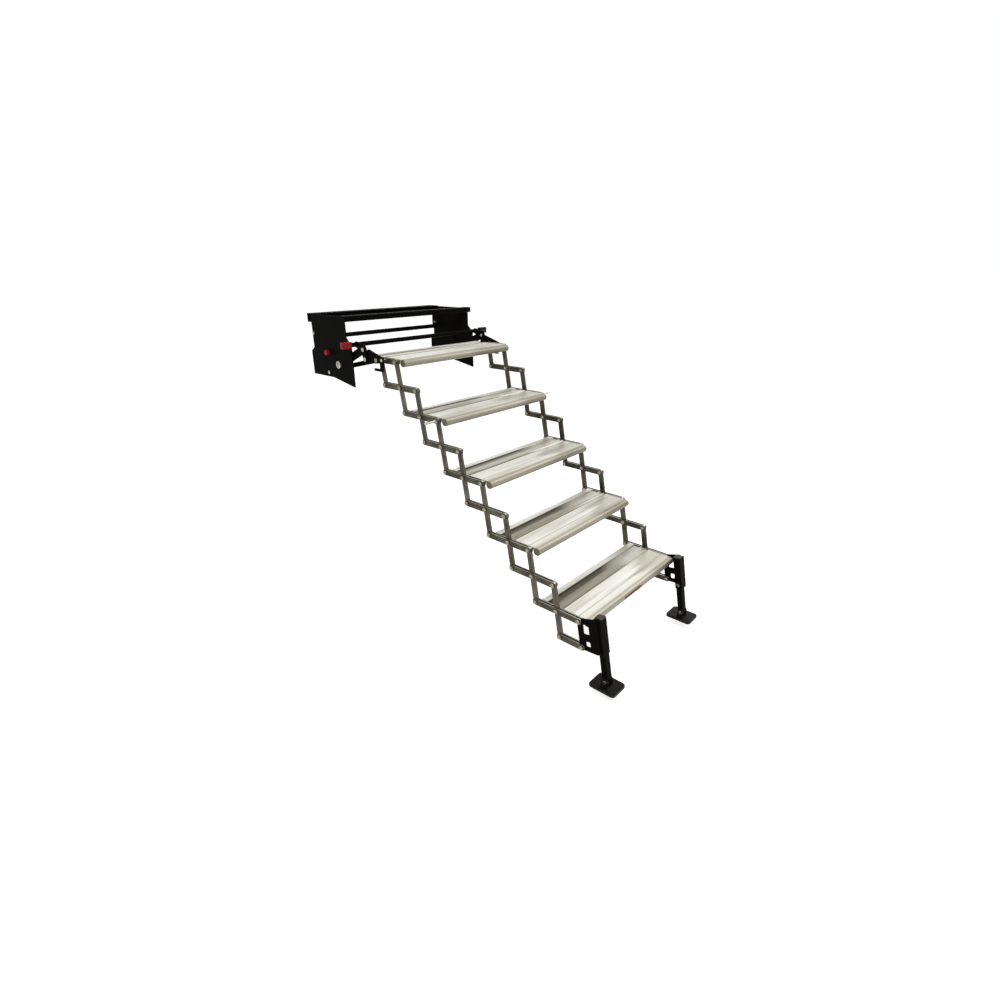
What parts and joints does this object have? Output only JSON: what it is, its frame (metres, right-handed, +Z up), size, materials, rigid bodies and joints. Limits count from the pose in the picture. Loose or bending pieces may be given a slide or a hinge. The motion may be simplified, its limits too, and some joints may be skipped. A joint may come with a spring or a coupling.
{
  "type": "folding vehicle entry step",
  "caption": "Folding scissor entry stair: aluminium treads on a lazy-tongs lattice, hung from a steel door frame by lift arms with a grip bar, on adjustable tilting feet.",
  "frame": {"origin": "centre of the four mounting holes, on the top face of the mounting frame", "axes": "+Z up out of the frame's top face, +Y from the stair towards the vehicle, +X to the right for a person facing the door"},
  "size_m": [0.822, 1.5988, 1.1617],
  "materials": {
    "black_steel": "satin",
    "tread_aluminium": "mill",
    "link_aluminium": "mill",
    "zinc": "zinc plated",
    "red_plastic": "gloss",
    "black_plastic": "matte",
    "dark_plastic": "matte"
  },
  "bodies": {
    "frame": {"side_plate_left": "black_steel", "side_plate_right": "black_steel", "front_rail": "black_steel", "rear_rail": "black_steel", "rear_rod": "black_steel", "frame_bolts": "zinc", "arm_pivot_bolts": "zinc"},
    "upper_arms": {"upper_arms": "black_steel", "arm_link_pins": "zinc", "lift_bar": "black_steel", "red_grip": "red_plastic", "black_grip": "black_plastic"},
    "lower_arms": {"lower_arms": "black_steel"},
    "plunger": {"plunger_knob": "red_plastic"},
    "stair_head": {"tread_1": "tread_aluminium", "links_0": "link_aluminium", "pivot_pins_0": "zinc", "carriers": "black_steel", "carrier_screws": "zinc"},
    "uprights_0": {"uprights_0": "link_aluminium"},
    "uprights_1": {"uprights_1": "link_aluminium"},
    "uprights_2": {"uprights_2": "link_aluminium"},
    "uprights_3": {"uprights_3": "link_aluminium"},
    "uprights_4": {"uprights_4": "link_aluminium"},
    "uprights_5": {"uprights_5": "link_aluminium"},
    "uprights_6": {"uprights_6": "link_aluminium"},
    "uprights_7": {"uprights_7": "link_aluminium"},
    "uprights_8": {"uprights_8": "link_aluminium"},
    "level_1": {"links_1": "link_aluminium", "pivot_pins_1": "zinc"},
    "level_2": {"tread_2": "tread_aluminium", "links_2": "link_aluminium", "pivot_pins_2": "zinc"},
    "level_3": {"links_3": "link_aluminium", "pivot_pins_3": "zinc"},
    "level_4": {"tread_3": "tread_aluminium", "links_4": "link_aluminium", "pivot_pins_4": "zinc"},
    "level_5": {"links_5": "link_aluminium", "pivot_pins_5": "zinc"},
    "level_6": {"tread_4": "tread_aluminium", "links_6": "link_aluminium", "pivot_pins_6": "zinc"},
    "level_7": {"links_7": "link_aluminium", "pivot_pins_7": "zinc"},
    "level_8": {"tread_5": "tread_aluminium", "links_8": "link_aluminium", "pivot_pins_8": "zinc"},
    "level_9": {"links_9": "link_aluminium", "pivot_pins_9": "zinc"},
    "leg_brackets": {"leg_brackets": "black_steel", "leg_caps": "dark_plastic", "leg_lock_screws": "zinc"},
    "inner_leg_left": {"inner_leg_left": "black_steel"},
    "foot_left": {"foot_left": "black_plastic", "foot_bolt_left": "zinc"},
    "inner_leg_right": {"inner_leg_right": "black_steel"},
    "foot_right": {"foot_right": "black_plastic", "foot_bolt_right": "zinc"}
  },
  "joints": [
    {"name": "arm_lift", "type": "hinge", "parent": "frame", "child": "lower_arms", "pos_m": [0, -0.119, -0.1955], "axis": [-1, 0, 0], "range_deg": [0, 16]},
    {"name": "upper_arm_lift", "type": "hinge", "parent": "frame", "child": "upper_arms", "pos_m": [0, -0.054, -0.1975], "axis": [-1, 0, 0], "range_deg": [0, 16]},
    {"name": "stair_head_level", "type": "hinge", "parent": "lower_arms", "child": "stair_head", "pos_m": [0, -0.293, -0.158], "axis": [-1, 0, 0], "range_deg": [-16, 0]},
    {"name": "plunger_pull", "type": "slide", "parent": "frame", "child": "plunger", "axis": [-1, 0, 0], "range_m": [0, 0.006], "stiffness_N_per_m": 300},
    {"name": "stair_fold", "type": "hinge", "parent": "stair_head", "child": "uprights_1", "pos_m": [0, -0.386, -0.158], "axis": [1, 0, 0], "range_deg": [0, 82]},
    {"name": "fold_uprights_0", "type": "hinge", "parent": "stair_head", "child": "uprights_0", "pos_m": [0, -0.293, -0.158], "axis": [1, 0, 0], "range_deg": [0, 82]},
    {"name": "keep_level_1", "type": "hinge", "parent": "uprights_1", "child": "level_1", "pos_m": [0, -0.40498, -0.25476], "axis": [1, 0, 0], "range_deg": [-82, 0]},
    {"name": "fold_uprights_2", "type": "hinge", "parent": "stair_head", "child": "uprights_2", "pos_m": [0, -0.479, -0.158], "axis": [1, 0, 0], "range_deg": [0, 82]},
    {"name": "keep_level_2", "type": "hinge", "parent": "uprights_2", "child": "level_2", "pos_m": [0, -0.51697, -0.35151], "axis": [1, 0, 0], "range_deg": [-82, 0]},
    {"name": "fold_uprights_3", "type": "hinge", "parent": "stair_head", "child": "uprights_3", "pos_m": [0, -0.572, -0.158], "axis": [1, 0, 0], "range_deg": [0, 82]},
    {"name": "keep_level_3", "type": "hinge", "parent": "uprights_3", "child": "level_3", "pos_m": [0, -0.62895, -0.44827], "axis": [1, 0, 0], "range_deg": [-82, 0]},
    {"name": "fold_uprights_4", "type": "hinge", "parent": "stair_head", "child": "uprights_4", "pos_m": [0, -0.665, -0.158], "axis": [1, 0, 0], "range_deg": [0, 82]},
    {"name": "keep_level_4", "type": "hinge", "parent": "uprights_4", "child": "level_4", "pos_m": [0, -0.74093, -0.54502], "axis": [1, 0, 0], "range_deg": [-82, 0]},
    {"name": "fold_uprights_5", "type": "hinge", "parent": "stair_head", "child": "uprights_5", "pos_m": [0, -0.758, -0.158], "axis": [1, 0, 0], "range_deg": [0, 82]},
    {"name": "keep_level_5", "type": "hinge", "parent": "uprights_5", "child": "level_5", "pos_m": [0, -0.85291, -0.64178], "axis": [1, 0, 0], "range_deg": [-82, 0]},
    {"name": "fold_uprights_6", "type": "hinge", "parent": "stair_head", "child": "uprights_6", "pos_m": [0, -0.851, -0.158], "axis": [1, 0, 0], "range_deg": [0, 82]},
    {"name": "keep_level_6", "type": "hinge", "parent": "uprights_6", "child": "level_6", "pos_m": [0, -0.9649, -0.73853], "axis": [1, 0, 0], "range_deg": [-82, 0]},
    {"name": "fold_uprights_7", "type": "hinge", "parent": "stair_head", "child": "uprights_7", "pos_m": [0, -0.944, -0.158], "axis": [1, 0, 0], "range_deg": [0, 82]},
    {"name": "keep_level_7", "type": "hinge", "parent": "uprights_7", "child": "level_7", "pos_m": [0, -1.07688, -0.83529], "axis": [1, 0, 0], "range_deg": [-82, 0]},
    {"name": "fold_uprights_8", "type": "hinge", "parent": "stair_head", "child": "uprights_8", "pos_m": [0, -1.037, -0.158], "axis": [1, 0, 0], "range_deg": [0, 82]},
    {"name": "keep_level_8", "type": "hinge", "parent": "uprights_8", "child": "level_8", "pos_m": [0, -1.18886, -0.93204], "axis": [1, 0, 0], "range_deg": [-82, 0]},
    {"name": "keep_level_9", "type": "hinge", "parent": "uprights_8", "child": "level_9", "pos_m": [0, -1.20784, -1.0288], "axis": [1, 0, 0], "range_deg": [-82, 0]},
    {"name": "leg_fold", "type": "hinge", "parent": "level_8", "child": "leg_brackets", "pos_m": [0, -1.28186, -0.93204], "axis": [1, 0, 0], "range_deg": [0, 82]},
    {"name": "leg_slide_left", "type": "slide", "parent": "leg_brackets", "child": "inner_leg_left", "axis": [0, -0.1925, -0.9813], "range_m": [-0.035, 0.04]},
    {"name": "foot_tilt_left", "type": "hinge", "parent": "inner_leg_left", "child": "foot_left", "pos_m": [-0.28485, -1.39177, -1.13671], "axis": [1, 0, 0], "range_deg": [-20, 20]},
    {"name": "leg_slide_right", "type": "slide", "parent": "leg_brackets", "child": "inner_leg_right", "axis": [0, -0.1925, -0.9813], "range_m": [-0.035, 0.04]},
    {"name": "foot_tilt_right", "type": "hinge", "parent": "inner_leg_right", "child": "foot_right", "pos_m": [0.28485, -1.39177, -1.13671], "axis": [1, 0, 0], "range_deg": [-20, 20]}
  ],
  "couplings": [
    {"joint": "upper_arm_lift", "follows": "arm_lift", "ratio": 1},
    {"joint": "stair_head_level", "follows": "arm_lift", "ratio": -1},
    {"joint": "fold_uprights_0", "follows": "stair_fold", "ratio": 1},
    {"joint": "keep_level_1", "follows": "stair_fold", "ratio": -1},
    {"joint": "fold_uprights_2", "follows": "stair_fold", "ratio": 1},
    {"joint": "keep_level_2", "follows": "stair_fold", "ratio": -1},
    {"joint": "fold_uprights_3", "follows": "stair_fold", "ratio": 1},
    {"joint": "keep_level_3", "follows": "stair_fold", "ratio": -1},
    {"joint": "fold_uprights_4", "follows": "stair_fold", "ratio": 1},
    {"joint": "keep_level_4", "follows": "stair_fold", "ratio": -1},
    {"joint": "fold_uprights_5", "follows": "stair_fold", "ratio": 1},
    {"joint": "keep_level_5", "follows": "stair_fold", "ratio": -1},
    {"joint": "fold_uprights_6", "follows": "stair_fold", "ratio": 1},
    {"joint": "keep_level_6", "follows": "stair_fold", "ratio": -1},
    {"joint": "fold_uprights_7", "follows": "stair_fold", "ratio": 1},
    {"joint": "keep_level_7", "follows": "stair_fold", "ratio": -1},
    {"joint": "fold_uprights_8", "follows": "stair_fold", "ratio": 1},
    {"joint": "keep_level_8", "follows": "stair_fold", "ratio": -1},
    {"joint": "keep_level_9", "follows": "stair_fold", "ratio": -1},
    {"joint": "leg_fold", "follows": "stair_fold", "ratio": 1}
  ]
}
